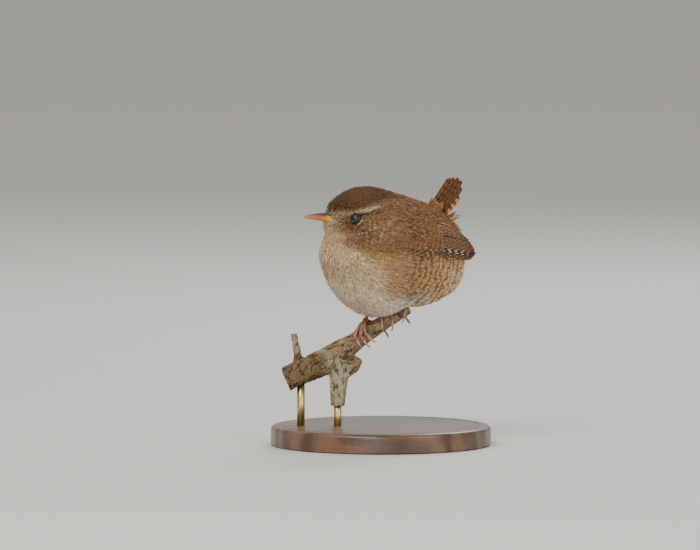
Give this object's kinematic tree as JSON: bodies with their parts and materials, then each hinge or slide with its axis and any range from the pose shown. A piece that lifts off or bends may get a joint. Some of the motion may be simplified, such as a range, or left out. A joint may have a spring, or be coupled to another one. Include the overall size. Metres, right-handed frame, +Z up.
{
  "type": "wren model on a forked twig",
  "caption": "Life-size model of a fluffed-up wren with cocked tail, gripping a forked twig held over a round base by two rods.",
  "frame": {"origin": "centre of the base's underside", "axes": "+Z up; -X is the side that the bill points to; -Y is the side that the breast is turned a little towards"},
  "size_m": [0.09, 0.09, 0.1089],
  "materials": {
    "body_plumage": "soft feathers",
    "wing_feathers": "barred feathers",
    "tail_feathers": "barred feathers",
    "bill": "smooth horn",
    "eye": "wet gloss",
    "foot_skin": "scaled skin",
    "claw": "smooth horn",
    "bark": "rough bark",
    "base_wood": "satin varnish",
    "rod_brass": "polished"
  },
  "bodies": {
    "root": {"torso": "body_plumage", "neck": "body_plumage", "head": "body_plumage", "bill_upper": "bill", "bill_lower": "bill", "eye_left": "eye", "eye_right": "eye", "wing_left": "wing_feathers", "wing_right": "wing_feathers", "tail": "tail_feathers", "leg_left": "foot_skin", "leg_right": "foot_skin", "foot_left": "foot_skin", "foot_right": "foot_skin", "claw_left_inner": "claw", "claw_left_middle": "claw", "claw_left_outer": "claw", "claw_left_hind": "claw", "claw_right_inner": "claw", "claw_right_middle": "claw", "claw_right_outer": "claw", "claw_right_hind": "claw", "perch": "bark", "stand_base": "base_wood", "stand_rod_fork": "rod_brass", "stand_rod_branch": "rod_brass"}
  },
  "joints": []
}
